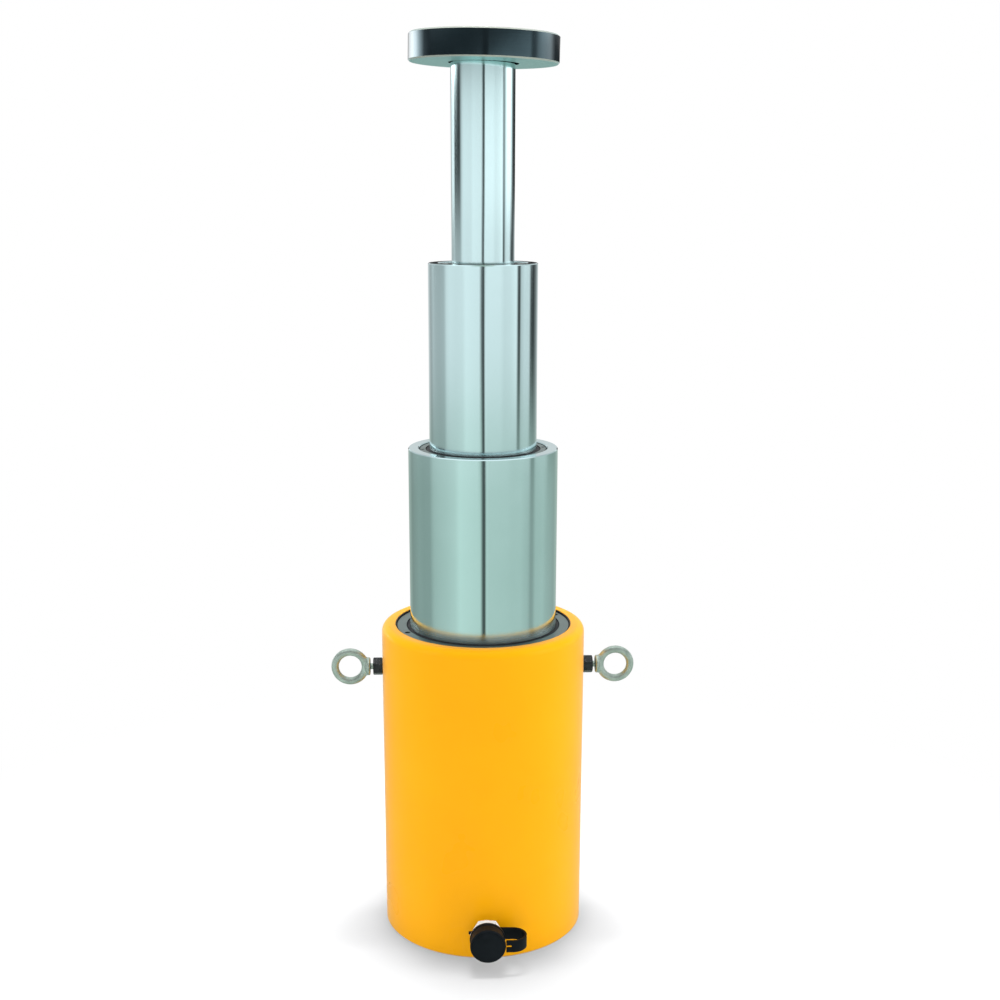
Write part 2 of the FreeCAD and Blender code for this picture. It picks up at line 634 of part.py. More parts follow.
def dust_cap():
    """The rubber cap: a beaded skirt over the coupler's barrel and a flat face with a raised middle."""
    inner = BARREL_RADIUS + RUN_GAP
    floor = CAP_END - CAP_FACE_THICKNESS
    flange = disc(CAP_RADIUS, CAP_START, CAP_START + CAP_FLANGE)
    flange_rims = edges_at(flange, CAP_START, CAP_RADIUS) + edges_at(flange, CAP_START + CAP_FLANGE, CAP_RADIUS)
    flange = flange.makeFillet(CAP_FLANGE_ROUND, flange_rims)
    waist = disc(CAP_WAIST_RADIUS, CAP_START + CAP_FLANGE - CAP_FLANGE_ROUND, CAP_END - CAP_FLANGE)
    head = disc(CAP_RADIUS, CAP_END - CAP_FLANGE, CAP_END - CAP_FACE_STEP)
    head_rims = edges_at(head, CAP_END - CAP_FACE_STEP, CAP_RADIUS)
    head = head.makeFillet(CAP_EDGE_ROUND, head_rims)
    face = disc(CAP_FACE_STEP_RADIUS, CAP_END - CAP_FACE_THICKNESS, CAP_END)
    cap = flange.fuse([waist, head, face]).removeSplitter()
    return outward(cap.cut(disc(inner, CAP_START, floor)))


def dust_cap_strap():
    """The rubber strap: a ring round the adapter's neck and a flat band that loops round to the cap."""
    ring = tube(ADAPTER_NECK_RADIUS + FIT_GAP, STRAP_RING_RADIUS, STRAP_RING_START, STRAP_RING_END)
    lug = Part.makeBox(
        STRAP_LUG_RADIUS - STRAP_ROOT,
        STRAP_LUG_WIDTH,
        STRAP_RING_END - STRAP_RING_START,
        Vector(-STRAP_LUG_RADIUS, -STRAP_LUG_WIDTH / 2, STRAP_RING_START),
    )
    bend = (STRAP_FRONT - STRAP_BACK) / 2
    turn_centre = STRAP_REACH - STRAP_THICKNESS / 2 - bend
    middle = (STRAP_FRONT + STRAP_BACK) / 2
    half = STRAP_THICKNESS / 2
    tip = CAP_RADIUS + RUN_GAP

    def band_outline(offset):
        """The points of the band's face on one side of its middle line, from ring to cap."""
        back = STRAP_BACK - offset
        front = STRAP_FRONT + offset
        crown = Vector(turn_centre + bend + offset, 0, middle)
        return (
            Part.makeLine(Vector(STRAP_ROOT, 0, back), Vector(turn_centre, 0, back)),
            Part.Arc(Vector(turn_centre, 0, back), crown, Vector(turn_centre, 0, front)).toShape(),
            Part.makeLine(Vector(turn_centre, 0, front), Vector(tip, 0, front)),
        )

    outer_edges = band_outline(half)
    inner_edges = band_outline(-half)
    root_edge = Part.makeLine(Vector(STRAP_ROOT, 0, STRAP_BACK - half), Vector(STRAP_ROOT, 0, STRAP_BACK + half))
    tip_edge = Part.makeLine(Vector(tip, 0, STRAP_FRONT - half), Vector(tip, 0, STRAP_FRONT + half))
    outline = Part.Wire(Part.__sortEdges__([*outer_edges, *inner_edges, root_edge, tip_edge]))
    band = Part.Face(outline).extrude(Vector(0, STRAP_HEIGHT, 0))
    band.translate(Vector(0, -STRAP_HEIGHT / 2 - STRAP_DROP, 0))
    slot = Part.makeBox(
        STRAP_SLOT_END - STRAP_SLOT_START,
        STRAP_SLOT_HEIGHT,
        4 * half,
        Vector(STRAP_SLOT_START, -STRAP_SLOT_HEIGHT / 2 - STRAP_DROP, STRAP_FRONT - 2 * half),
    )
    return outward(ring.fuse([lug, band]).cut(slot).removeSplitter())


def main():
    os.makedirs("parts", exist_ok=True)
    export("cylinder_body", cylinder_body())
    export("base_plug", base_plug())
    export("base_seal", base_seal())
    stop_ring_set("body", FIRST_RADIUS, BODY_RING_RADIUS, BODY_RING_TOP, BODY_SPANNER_HOLES)
    for name, side in (("left", -1), ("right", 1)):
        export(f"lifting_eye_{name}", lifting_eye(side))
        export(f"eye_lock_nut_{name}", eye_lock_nut(side))
    export("inlet_adapter", inlet_adapter())
    export("coupler_body", coupler_body())
    export("coupler_poppet", coupler_poppet())
    export("coupler_spring", coupler_spring())
    export("dust_cap", dust_cap())
    export("dust_cap_strap", dust_cap_strap())
    first_tube = stage_tube(
        FIRST_RADIUS,
        FIRST_BORE_RADIUS,
        FIRST_RING_RADIUS,
        FIRST_RING_TOP,
        FIRST_PISTON_BOTTOM + PISTON_LIP,
        FIRST_TOP,
    )
    export("first_stage_tube", first_tube)
    first_piston_top = BODY_RING_TOP - STOP_RING_LENGTH - RUN_GAP
    piston_set(
        "first_stage",
        FIRST_RADIUS,
        FIRST_BORE_RADIUS,
        BODY_BORE_RADIUS,
        FIRST_PISTON_BOTTOM,
        first_piston_top,
    )
    stop_ring_set("first_stage", SECOND_RADIUS, FIRST_RING_RADIUS, FIRST_RING_TOP, FIRST_SPANNER_HOLES)
    second_tube = stage_tube(
        SECOND_RADIUS,
        SECOND_BORE_RADIUS,
        SECOND_RING_RADIUS,
        SECOND_RING_TOP,
        SECOND_PISTON_BOTTOM + PISTON_LIP,
        SECOND_TOP,
    )
    export("second_stage_tube", second_tube)
    second_piston_top = FIRST_RING_TOP - STOP_RING_LENGTH - RUN_GAP
    piston_set(
        "second_stage",
        SECOND_RADIUS,
        SECOND_BORE_RADIUS,
        FIRST_BORE_RADIUS,
        SECOND_PISTON_BOTTOM,
        second_piston_top,
    )
    stop_ring_set("second_stage", PLUNGER_RADIUS, SECOND_RING_RADIUS, SECOND_RING_TOP, SECOND_SPANNER_HOLES)
    export("plunger_rod", plunger_rod())
    plunger_piston_top = SECOND_RING_TOP - STOP_RING_LENGTH - RUN_GAP
    piston_set(
        "plunger",
        PLUNGER_RADIUS,
        PLUNGER_LIP_RADIUS,
        SECOND_BORE_RADIUS,
        PLUNGER_PISTON_BOTTOM,
        plunger_piston_top,
    )
    export("saddle_seat", saddle_seat())
    export("saddle_seat_ring", seat_ring(SEAT_RING_SECTION))
    export("saddle", saddle())
    export("saddle_snap_ring", saddle_snap_ring())


main()
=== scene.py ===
import json
import math

import bmesh
import bpy
from mathutils import Matrix, Vector


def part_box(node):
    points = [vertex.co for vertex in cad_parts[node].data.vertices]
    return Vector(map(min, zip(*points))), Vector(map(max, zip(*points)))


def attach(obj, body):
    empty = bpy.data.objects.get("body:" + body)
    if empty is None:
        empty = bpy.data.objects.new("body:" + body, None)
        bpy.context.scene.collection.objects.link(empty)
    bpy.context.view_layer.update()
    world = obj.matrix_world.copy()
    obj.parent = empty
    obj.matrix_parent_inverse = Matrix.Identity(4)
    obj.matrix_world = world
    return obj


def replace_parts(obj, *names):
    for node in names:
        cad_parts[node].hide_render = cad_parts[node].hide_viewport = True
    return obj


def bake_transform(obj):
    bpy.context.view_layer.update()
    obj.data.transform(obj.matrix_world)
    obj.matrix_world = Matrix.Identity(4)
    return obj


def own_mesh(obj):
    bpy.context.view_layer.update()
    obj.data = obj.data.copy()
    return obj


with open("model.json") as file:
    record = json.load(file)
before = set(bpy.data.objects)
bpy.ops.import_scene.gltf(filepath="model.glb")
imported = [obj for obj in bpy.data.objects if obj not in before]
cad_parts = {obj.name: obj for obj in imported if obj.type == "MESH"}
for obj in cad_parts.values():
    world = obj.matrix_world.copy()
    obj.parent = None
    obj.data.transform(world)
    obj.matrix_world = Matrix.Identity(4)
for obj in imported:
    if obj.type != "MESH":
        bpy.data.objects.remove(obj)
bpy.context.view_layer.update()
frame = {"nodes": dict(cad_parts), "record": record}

# Telescopic hydraulic cylinder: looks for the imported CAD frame. Metres, +Z up, inlet towards -Y.

MM = 0.001

# ---- camera ----------------------------------------------------------------------------------

CAMERA_BEARING = math.radians(2.1)  # the camera stands this far to the left of straight ahead
CAMERA_DISTANCE = 1.607  # from the ram's axis, level
CAMERA_HEIGHT = 0.838
CAMERA_PITCH = math.radians(14.9)
SENSOR = 36.0
LENS = 52.94
SHIFT_X = 0.0170
SHIFT_Y = 0.0804
CLIP_START = 0.05
CLIP_END = 50.0


def place_camera():
    data = bpy.data.cameras.new("camera")
    data.sensor_width = SENSOR
    data.lens = LENS
    data.shift_x = SHIFT_X
    data.shift_y = SHIFT_Y
    data.clip_start = CLIP_START
    data.clip_end = CLIP_END
    camera = bpy.data.objects.new("camera", data)
    camera.location = (
        -CAMERA_DISTANCE * math.sin(CAMERA_BEARING),
        -CAMERA_DISTANCE * math.cos(CAMERA_BEARING),
        CAMERA_HEIGHT,
    )
    camera.rotation_euler = (math.pi / 2 - CAMERA_PITCH, 0.0, -CAMERA_BEARING)
    bpy.context.scene.collection.objects.link(camera)
    bpy.context.scene.camera = camera


place_camera()

# ---- node helpers ----------------------------------------------------------------------------


class Graph:
    """A small wrapper that adds and links shader nodes."""

    def __init__(self, tree):
        self.tree = tree
        self.tree.nodes.clear()

    def add(self, kind, settings=None, inputs=None):
        node = self.tree.nodes.new(kind)
        for key, value in (settings or {}).items():
            setattr(node, key, value)
        for key, value in (inputs or {}).items():
            self.feed(node.inputs[key], value)
        return node

    def feed(self, socket, value):
        if isinstance(value, bpy.types.NodeSocket):
            self.tree.links.new(value, socket)
        else:
            socket.default_value = value

    def math(self, operation, a, b=0.0):
        node = self.add("ShaderNodeMath", {"operation": operation})
        for index, value in enumerate((a, b)):
            self.feed(node.inputs[index], value)
        return node.outputs[0]

    def remap(self, value, low, high, to_low=0.0, to_high=1.0, smooth=False):
        kind = "SMOOTHSTEP" if smooth else "LINEAR"
        node = self.add("ShaderNodeMapRange", {"interpolation_type": kind})
        for index, item in enumerate((value, low, high, to_low, to_high)):
            self.feed(node.inputs[index], item)
        return node.outputs[0]

    def mix(self, factor, a, b, blend="MIX"):
        node = self.add("ShaderNodeMix", {"data_type": "RGBA", "blend_type": blend})
        self.feed(node.inputs[0], factor)
        self.feed(node.inputs[6], a)
        self.feed(node.inputs[7], b)
        return node.outputs[2]

    def ramp(self, factor, stops):
        """A colour ramp from (position, grey or colour) pairs."""
        node = self.add("ShaderNodeValToRGB")
        ramp = node.color_ramp
        for index, (position, value) in enumerate(stops):
            if index < 2:
                element = ramp.elements[index]
            else:
                element = ramp.elements.new(1.0)
            element.position = position
            element.color = (value, value, value, 1.0) if isinstance(value, float) else (*value, 1.0)
        self.feed(node.inputs[0], factor)
        return node.outputs[0]

    def noise(self, coordinates, scale, detail, rough=0.5, stretch=None):
        if stretch:
            mapping = self.add("ShaderNodeMapping", inputs={"Vector": coordinates, "Scale": stretch})
            coordinates = mapping.outputs[0]
        node = self.add(
            "ShaderNodeTexNoise",
            inputs={"Vector": coordinates, "Scale": scale, "Detail": detail, "Roughness": rough},
        )
        return node.outputs["Fac"]

    def bump(self, height, strength, distance):
        node = self.add(
            "ShaderNodeBump", inputs={"Height": height, "Strength": strength, "Distance": distance}
        )
        return node.outputs[0]


def position(graph):
    """Where the surface point is, in the object's own metres."""
    return graph.add("ShaderNodeTexCoord").outputs["Object"]


def split(graph, vector):
    return graph.add("ShaderNodeSeparateXYZ", inputs={0: vector}).outputs


def level_length(graph, x, y):
    """Distance from the ram's axis."""
    squares = graph.math("ADD", graph.math("MULTIPLY", x, x), graph.math("MULTIPLY", y, y))
    return graph.math("SQRT", squares)


# ---- studio ----------------------------------------------------------------------------------

# Light panels all round, as (bearing from the camera in degrees, brightness), for rays that leave a
# polished surface at each slope, from steeply up to down. The thin dark gaps between panels draw the
# dark lines on the chrome.
OVERHEAD_PANELS = [
    (-180, 0.66), (-140, 0.66), (-90, 0.34), (-55, 0.06), (55, 0.06), (90, 0.34), (140, 0.66),
    (180, 0.66),
]
TOP_PANELS = [
    (-180, 0.72), (-126, 0.95), (-118, 0.10), (-93, 0.06), (-86, 0.58), (-60, 0.58), (-5, 0.52), (0, 0.18),
    (5, 0.52), (60, 0.58),
    (100, 0.75), (130, 0.95), (180, 0.72),
]
HIGH_PANELS = [
    (-180, 0.40), (-168, 0.50), (-160, 1.2), (-149, 2.8), (-136, 5.4), (-124, 5.8), (-112, 2.8),
    (-102, 0.40), (-88, 0.04), (0, 0.02), (78, 0.04), (88, 1.0), (100, 3.6), (112, 3.9), (122, 1.6),
    (130, 0.30), (152, 0.16), (168, 0.30), (180, 0.40),
]
UPPER_PANELS = [
    (-180, 0.04), (-166, 0.10), (-154, 0.9), (-142, 1.1), (-129, 1.1), (-122, 0.08), (-93, 0.02),
    (-84, 0.70), (-76, 1.02), (-60, 1.06), (-44, 1.05), (-36, 1.15), (-5, 1.12), (0.6, 0.08), (4.8, 0.06),
    (8.4, 1.36), (36, 1.34), (46, 1.22), (60, 1.30), (73, 1.42), (78, 0.40), (84, 0.40), (91, 1.3),
    (100, 1.6), (119, 1.5), (128, 0.50), (136, 0.06), (160, 0.03), (180, 0.04),
]
MIDDLE_PANELS = [
    (-180, 0.80), (-160, 0.70), (-143, 0.42), (-130, 0.60), (-118, 0.54), (-104, 0.53), (-90, 0.58),
    (-82, 0.88), (-74, 0.94), (-58, 0.90), (-44, 0.92), (-36, 1.03), (-8, 0.98), (-2.6, 0.10), (2.0, 0.07),
    (4.4, 1.04), (9, 0.98), (36, 0.97), (46, 0.86), (60, 0.90), (74, 1.05), (79, 0.08), (83, 0.04),
    (87, 0.66), (97, 0.82), (113, 0.80), (120, 0.10), (132, 0.04), (146, 0.25), (165, 0.70), (180, 0.80),
]
LOWER_PANELS = [
    (-180, 0.45), (-160, 0.50), (-143, 0.34), (-130, 0.38), (-118, 0.42), (-104, 0.40), (-90, 0.41),
    (-82, 0.56), (-74, 0.60), (-58, 0.66), (-44, 0.74), (-36, 0.86), (-4, 0.78), (-0.2, 0.12), (2.8, 0.10),
    (5.2, 0.76), (9, 0.70), (36, 0.68), (46, 0.66), (60, 0.66), (74, 0.56), (79, 0.42), (83, 0.44),
    (89, 0.60), (106, 0.62), (116, 0.54), (128, 0.50), (143, 0.44), (160, 0.55), (180, 0.45),
]
# Slopes of a reflected ray between which each set of panels fades into the next one up.
MIDDLE_START = (-0.20, -0.10)
UPPER_START = (-0.035, 0.005)
HIGH_START = (0.076, 0.082)
TOP_START = (0.11, 0.14)
OVERHEAD_START = (0.22, 0.28)
ZENITH_START = (0.7, 1.4)
ZENITH_LIGHT = 1.1
LOWER_TINT = (0.82, 0.97, 0.87, 1.0)
BRIGHTEST = 6.0  # the brightest panel, which the ramps are scaled to
SURFACE_SKY = 0.62  # light from all round on matt surfaces
NEARLY_LEVEL = 1e-4  # the shortest level length that a slope is divided by
BACKDROP = (1.0, 1.0, 1.0, 1.0)


def studio_light():
    """Even white light for everything matt, and a ring of panels for whatever is polished."""
    world = bpy.data.worlds.new("studio")
    bpy.context.scene.world = world
    world.use_nodes = True
    graph = Graph(world.node_tree)
    direction = graph.add("ShaderNodeTexCoord").outputs["Generated"]
    turned = graph.add(
        "ShaderNodeVectorRotate",
        {"rotation_type": "Z_AXIS"},
        {"Vector": direction, "Angle": CAMERA_BEARING},
    ).outputs[0]
    x, y, z = split(graph, turned)[:3]
    bearing = graph.math("ARCTAN2", x, graph.math("MULTIPLY", y, -1.0))
    around = graph.math("ADD", graph.math("DIVIDE", bearing, 2 * math.pi), 0.5)
    slope = graph.math("DIVIDE", z, graph.math("MAXIMUM", level_length(graph, x, y), NEARLY_LEVEL))

    def ring(panels):
        stops = [(0.5 + degrees / 360, light / BRIGHTEST) for degrees, light in panels]
        return graph.ramp(around, stops)

    def above(start):
        return graph.remap(slope, start[0], start[1], smooth=True)

    zenith = ZENITH_LIGHT / BRIGHTEST
    low = graph.mix(1.0, ring(LOWER_PANELS), LOWER_TINT, "MULTIPLY")
    lit = graph.mix(above(MIDDLE_START), low, ring(MIDDLE_PANELS))
    lit = graph.mix(above(UPPER_START), lit, ring(UPPER_PANELS))
    lit = graph.mix(above(HIGH_START), lit, ring(HIGH_PANELS))
    lit = graph.mix(above(TOP_START), lit, ring(TOP_PANELS))
    lit = graph.mix(above(OVERHEAD_START), lit, ring(OVERHEAD_PANELS))
    lit = graph.mix(above(ZENITH_START), lit, (zenith, zenith, zenith, 1.0))

    def glow(colour, strength):
        return graph.add("ShaderNodeBackground", inputs={"Color": colour, "Strength": strength}).outputs[0]

    panels = glow(lit, BRIGHTEST)
    plain = glow(BACKDROP, SURFACE_SKY)
    backdrop = glow(BACKDROP, 1.0)
    rays = graph.add("ShaderNodeLightPath").outputs
    chosen = graph.add("ShaderNodeMixShader", inputs={0: rays["Is Glossy Ray"], 1: plain, 2: panels})
    chosen = graph.add(
        "ShaderNodeMixShader", inputs={0: rays["Is Camera Ray"], 1: chosen.outputs[0], 2: backdrop}
    )
    graph.add("ShaderNodeOutputWorld", inputs={"Surface": chosen.outputs[0]})


# Each lamp's name, place, target, size and power in watts.
LAMPS = (
    ("top_light", (0.0, 0.25, 2.6), (0, 0, 0), (0.7, 0.7), 54.0),
    ("right_light", (1.70, -0.70, 0.8), (0, 0, 0.2), (0.9, 1.4), 19.0),
    ("left_light", (-1.70, -0.80, 0.8), (0, 0, 0.2), (0.9, 1.4), 13.5),
)


def area_light(name, place, target, size, power):
    """A soft lamp that lights surfaces but isn't seen in the chrome."""
    data = bpy.data.lights.new(name, "AREA")
    data.shape = "RECTANGLE"
    data.size, data.size_y = size
    data.energy = power
    lamp = bpy.data.objects.new(name, data)
    lamp.location = place
    lamp.rotation_euler = (Vector(target) - Vector(place)).to_track_quat("-Z", "Y").to_euler()
    lamp.visible_glossy = False
    bpy.context.scene.collection.objects.link(lamp)


FLOOR_HALF_WIDTH = 8.0
FLOOR_FADE = (0.30, 0.85)  # distances from the ram over which the floor turns into the backdrop
FLOOR_TONES = ((0.77, 0.77, 0.775), (0.80, 0.80, 0.80))


def studio_floor():
    """A pale floor that shows soft shadows round the base and runs out into the white backdrop."""
    mesh = bpy.data.meshes.new("floor")
    shape = bmesh.new()
    bmesh.ops.create_grid(shape, x_segments=1, y_segments=1, size=FLOOR_HALF_WIDTH)
    shape.to_mesh(mesh)
    shape.free()
    floor = bpy.data.objects.new("floor", mesh)
    bpy.context.scene.collection.objects.link(floor)
    made = bpy.data.materials.new("floor")
    made.use_nodes = True
    graph = Graph(made.node_tree)
    place = position(graph)
    tone = graph.ramp(graph.noise(place, 3.0, 2.0), [(0.0, FLOOR_TONES[0]), (1.0, FLOOR_TONES[1])])
    paper = graph.add("ShaderNodeBsdfDiffuse", inputs={"Color": tone}).outputs[0]
    glow = graph.add("ShaderNodeEmission", inputs={"Color": BACKDROP, "Strength": 1.0}).outputs[0]
    x, y = split(graph, place)[:2]
    fade = graph.remap(level_length(graph, x, y), FLOOR_FADE[0], FLOOR_FADE[1], smooth=True)
    both = graph.add("ShaderNodeMixShader", inputs={0: fade, 1: paper, 2: glow}).outputs[0]
    graph.add("ShaderNodeOutputMaterial", inputs={"Surface": both})
    mesh.materials.append(made)
    floor.visible_glossy = False


studio_light()
studio_floor()
for lamp_settings in LAMPS:
    area_light(*lamp_settings)

# ---- materials -------------------------------------------------------------------------------


def material(name, build, **settings):
    """A new material whose shader is fed by build(graph, shader)."""
    made = bpy.data.materials.new(name)
    made.use_nodes = True
    graph = Graph(made.node_tree)
    shader = graph.add("ShaderNodeBsdfPrincipled")
    for key, value in settings.items():
        shader.inputs[key.replace("_", " ")].default_value = value
    build(graph, shader)
    graph.add("ShaderNodeOutputMaterial", inputs={"Surface": shader.outputs[0]})
    return made


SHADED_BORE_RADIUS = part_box("body_stop_ring")[1].x + 0.6 * MM  # the paint stops at this radius, and the bore inside it is coloured near black as painted shade in the recess
PAINT_EDGE = 0.3 * MM  # how gradually the paint starts
# Near-black painted shade for the walls of the bore, where little light reaches.
BORE_SHADE_TONE = (0.012, 0.016, 0.020, 1.0)
# Near-black painted shade for the stop rings: in the groove round each ring and at its join with the
# wiper.
RING_SHADE_TONE = (0.008, 0.011, 0.013, 1.0)
SHADE_INNER_FADE = 1.2 * MM
SHADE_OUTER_FADE = 0.4 * MM
OIL_TONE = (0.20, 0.24, 0.22, 1.0)


def paint(graph, shader):
    """Yellow enamel with orange peel and a little dust, stopping at the bore, whose walls are coloured
    near black as painted shade.
    """
    place = position(graph)
    cloud = graph.noise(place, 9.0, 3.0)
    x, y = split(graph, place)[:2]
    painted = graph.remap(level_length(graph, x, y), SHADED_BORE_RADIUS, SHADED_BORE_RADIUS + PAINT_EDGE, smooth=True)
    tone = graph.ramp(cloud, [(0.3, (0.955, 0.410, 0.0010)), (0.7, (0.975, 0.436, 0.0016))])
    peel = graph.noise(place, 420.0, 2.0, 0.4)
    # Inside the bore's radius the colour turns near black: painted shade in the recess.
    graph.feed(shader.inputs["Base Color"], graph.mix(painted, BORE_SHADE_TONE, tone))
    graph.feed(shader.inputs["Roughness"], graph.remap(cloud, 0.3, 0.7, 0.26, 0.32))
    graph.feed(shader.inputs["Normal"], graph.bump(peel, 0.10, 0.0004))


def chrome(foot, oil_height):
    """Ground hard chrome: the grinder's fine rings smear reflections upright, and oil dulls the foot."""

    def build(graph, shader):
        place = position(graph)
        rings = graph.noise(place, 900.0, 2.0, 0.6, (0.02, 0.02, 1.0))
        film = graph.noise(place, 14.0, 4.0, 0.6)
        tone = graph.ramp(film, [(0.2, (0.60, 0.80, 0.82)), (0.8, (0.64, 0.84, 0.87))])
        oil = graph.remap(split(graph, place)[2], foot, foot + oil_height, 1.0, 0.0, smooth=True)
        oily = graph.mix(graph.math("MULTIPLY", oil, 0.25), tone, OIL_TONE)
        clean = graph.remap(film, 0.3, 0.8, 0.07, 0.09)
        around = graph.add("ShaderNodeTangent", {"direction_type": "RADIAL", "axis": "Z"}).outputs[0]
        graph.feed(shader.inputs["Tangent"], around)
        graph.feed(shader.inputs["Base Color"], oily)
        dulled = graph.math("ADD", clean, graph.math("MULTIPLY", oil, 0.22))
        graph.feed(shader.inputs["Roughness"], dulled)
        graph.feed(shader.inputs["Normal"], graph.bump(rings, 0.03, 0.00005))

    return build


def turned_steel(dark, light, shade_radii=None):
    """Steel faced on a lathe: fine rings about the ram's axis, with painted shade near the two radii
    given.
    """

    def build(graph, shader):
        place = position(graph)
        x, y, z = split(graph, place)[:3]
        radius = level_length(graph, x, y)
        along = graph.add("ShaderNodeCombineXYZ", inputs={0: radius, 1: z}).outputs[0]
        rings = graph.noise(along, 700.0, 3.0, 0.6)
        blotch = graph.noise(place, 30.0, 4.0, 0.6)
        both = graph.math("ADD", graph.math("MULTIPLY", rings, 0.6), graph.math("MULTIPLY", blotch, 0.4))
        tone = graph.ramp(both, [(0.3, dark), (0.7, light)])
        # Painted shade: near-black bands at the two given radii, darkening the join with the wiper and the
        # groove.
        if shade_radii:
            inner, outer = shade_radii
            near = graph.remap(radius, inner, inner + SHADE_INNER_FADE, 1.0, 0.0, smooth=True)
            far = graph.remap(radius, outer - SHADE_OUTER_FADE, outer, smooth=True)
            tone = graph.mix(graph.math("MAXIMUM", near, far), tone, RING_SHADE_TONE)
        graph.feed(shader.inputs["Base Color"], tone)
        graph.feed(shader.inputs["Roughness"], graph.remap(rings, 0.3, 0.7, 0.26, 0.42))
        graph.feed(shader.inputs["Normal"], graph.bump(rings, 0.25, 0.0001))

    return build


def blued_steel(graph, shader):
    """The dark blued saddle: a polished rim, with lighter machined faces above and below."""
    place = position(graph)
    normal = graph.add("ShaderNodeNewGeometry").outputs["Normal"]
    face = graph.remap(graph.math("ABSOLUTE", split(graph, normal)[2]), 0.5, 0.9, smooth=True)
    x, y, z = split(graph, place)[:3]
    along = graph.add("ShaderNodeCombineXYZ", inputs={0: level_length(graph, x, y), 1: z}).outputs[0]
    rings = graph.noise(along, 800.0, 3.0, 0.6)
    blotch = graph.noise(place, 45.0, 4.0, 0.6)
    dark = graph.ramp(blotch, [(0.3, (0.004, 0.008, 0.010)), (0.7, (0.009, 0.014, 0.017))])
    bare = graph.ramp(rings, [(0.3, (0.80, 0.84, 0.73)), (0.7, (0.93, 0.97, 0.86))])
    graph.feed(shader.inputs["Base Color"], graph.mix(face, dark, bare))
    graph.feed(shader.inputs["Roughness"], graph.remap(face, 0.0, 1.0, 0.08, 0.38))
    graph.feed(shader.inputs["Metallic"], face)
    graph.feed(shader.inputs["Normal"], graph.bump(rings, 0.10, 0.00006))


def rubber(dark, light, grain=600.0):
    """Moulded rubber or resin, a little cloudy, with a fine skin."""

    def build(graph, shader):
        place = position(graph)
        cloud = graph.noise(place, 60.0, 4.0, 0.6)
        skin = graph.noise(place, grain, 3.0, 0.6)
        graph.feed(shader.inputs["Base Color"], graph.ramp(cloud, [(0.3, dark), (0.7, light)]))
        graph.feed(shader.inputs["Roughness"], graph.remap(cloud, 0.3, 0.7, 0.42, 0.58))
        graph.feed(shader.inputs["Normal"], graph.bump(skin, 0.20, 0.0002))

    return build


def plated(dark, light, forged=0.25, rough=0.26):
    """Zinc plating over a forged or turned skin."""

    def build(graph, shader):
        place = position(graph)
        cloud = graph.noise(place, 120.0, 4.0, 0.6)
        skin = graph.noise(place, 420.0, 3.0, 0.6)
        graph.feed(shader.inputs["Base Color"], graph.ramp(cloud, [(0.3, dark), (0.7, light)]))
        graph.feed(shader.inputs["Roughness"], graph.remap(cloud, 0.3, 0.7, rough - 0.05, rough + 0.07))
        graph.feed(shader.inputs["Normal"], graph.bump(skin, forged, 0.0003))

    return build


MATERIALS = {
    "yellow_paint": material(
        "yellow_enamel", paint, Specular_IOR_Level=0.12, Sheen_Weight=0.20, Sheen_Roughness=0.35
    ),
    "wiper_rubber": material(
        "wiper_rubber", rubber((0.006, 0.009, 0.012), (0.014, 0.018, 0.022)), Specular_IOR_Level=0.25
    ),
    "seal_rubber": material("seal_rubber", rubber((0.015, 0.015, 0.015), (0.03, 0.03, 0.03))),
    "guide_band_resin": material("guide_resin", rubber((0.10, 0.05, 0.025), (0.16, 0.08, 0.04))),
    "machined_steel": material(
        "machined_steel", turned_steel((0.30, 0.31, 0.32), (0.48, 0.49, 0.50)), Metallic=1.0
    ),
    "zinc_plated_steel": material(
        "forged_zinc", plated((0.36, 0.45, 0.40), (0.55, 0.66, 0.60), rough=0.42), Metallic=0.75
    ),
    "black_oxide_steel": material(
        "black_oxide", plated((0.010, 0.012, 0.014), (0.030, 0.034, 0.036), 0.2), Metallic=0.4
    ),
    "plated_coupler_steel": material(
        "bright_zinc", plated((0.88, 0.90, 0.90), (0.97, 0.98, 0.98), 0.08, 0.4), Metallic=0.1
    ),
    "brass": material("turned_brass", plated((0.55, 0.36, 0.12), (0.72, 0.50, 0.20), 0.1), Metallic=1.0),
    "spring_steel": material(
        "spring_steel", plated((0.22, 0.23, 0.25), (0.36, 0.37, 0.39), 0.1), Metallic=1.0
    ),
    "cap_rubber": material(
        "cap_rubber", rubber((0.002, 0.004, 0.006), (0.006, 0.009, 0.012), 900.0), Specular_IOR_Level=0.12
    ),
    "blued_saddle_steel": material(
        "blued_steel", blued_steel, IOR=1.8, Specular_Tint=(0.52, 0.86, 1.0, 1.0)
    ),
    "hardened_steel": material(
        "hardened_steel", turned_steel((0.22, 0.22, 0.23), (0.34, 0.34, 0.36)), Metallic=1.0
    ),
}

SLOT_OF = {part["node"]: part["material_slot"] for part in frame["record"]["subparts"]}


SHADE_INNER_START = 0.2 * MM  # how far inside the wiper's edge the painted shade starts
SHADE_OUTER_START = 1.2 * MM  # and how far inside the ring's own edge the painted shade in the groove is darkest again


def stop_ring_material(prefix):
    """Faced steel, with painted shade beside the wiper and in the groove round the ring."""
    wiper_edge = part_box(f"{prefix}_wiper")[1].x
    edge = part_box(f"{prefix}_stop_ring")[1].x
    # The radii where the ring is painted dark as shade: beside the wiper and in the groove at its edge.
    shade_radii = (wiper_edge - SHADE_INNER_START, edge - SHADE_OUTER_START)
    build = turned_steel((0.16, 0.22, 0.21), (0.25, 0.33, 0.32), shade_radii)
    return material(f"{prefix}_stop_ring_steel", build, Metallic=0.9)


# The wiper that each stage stands out of, and how far above it the smear of oil reaches.
STAGES = {
    "first_stage_tube": ("body_wiper", 16 * MM),
    "second_stage_tube": ("first_stage_wiper", 4 * MM),
    "plunger_rod": ("second_stage_wiper", 3 * MM),
}


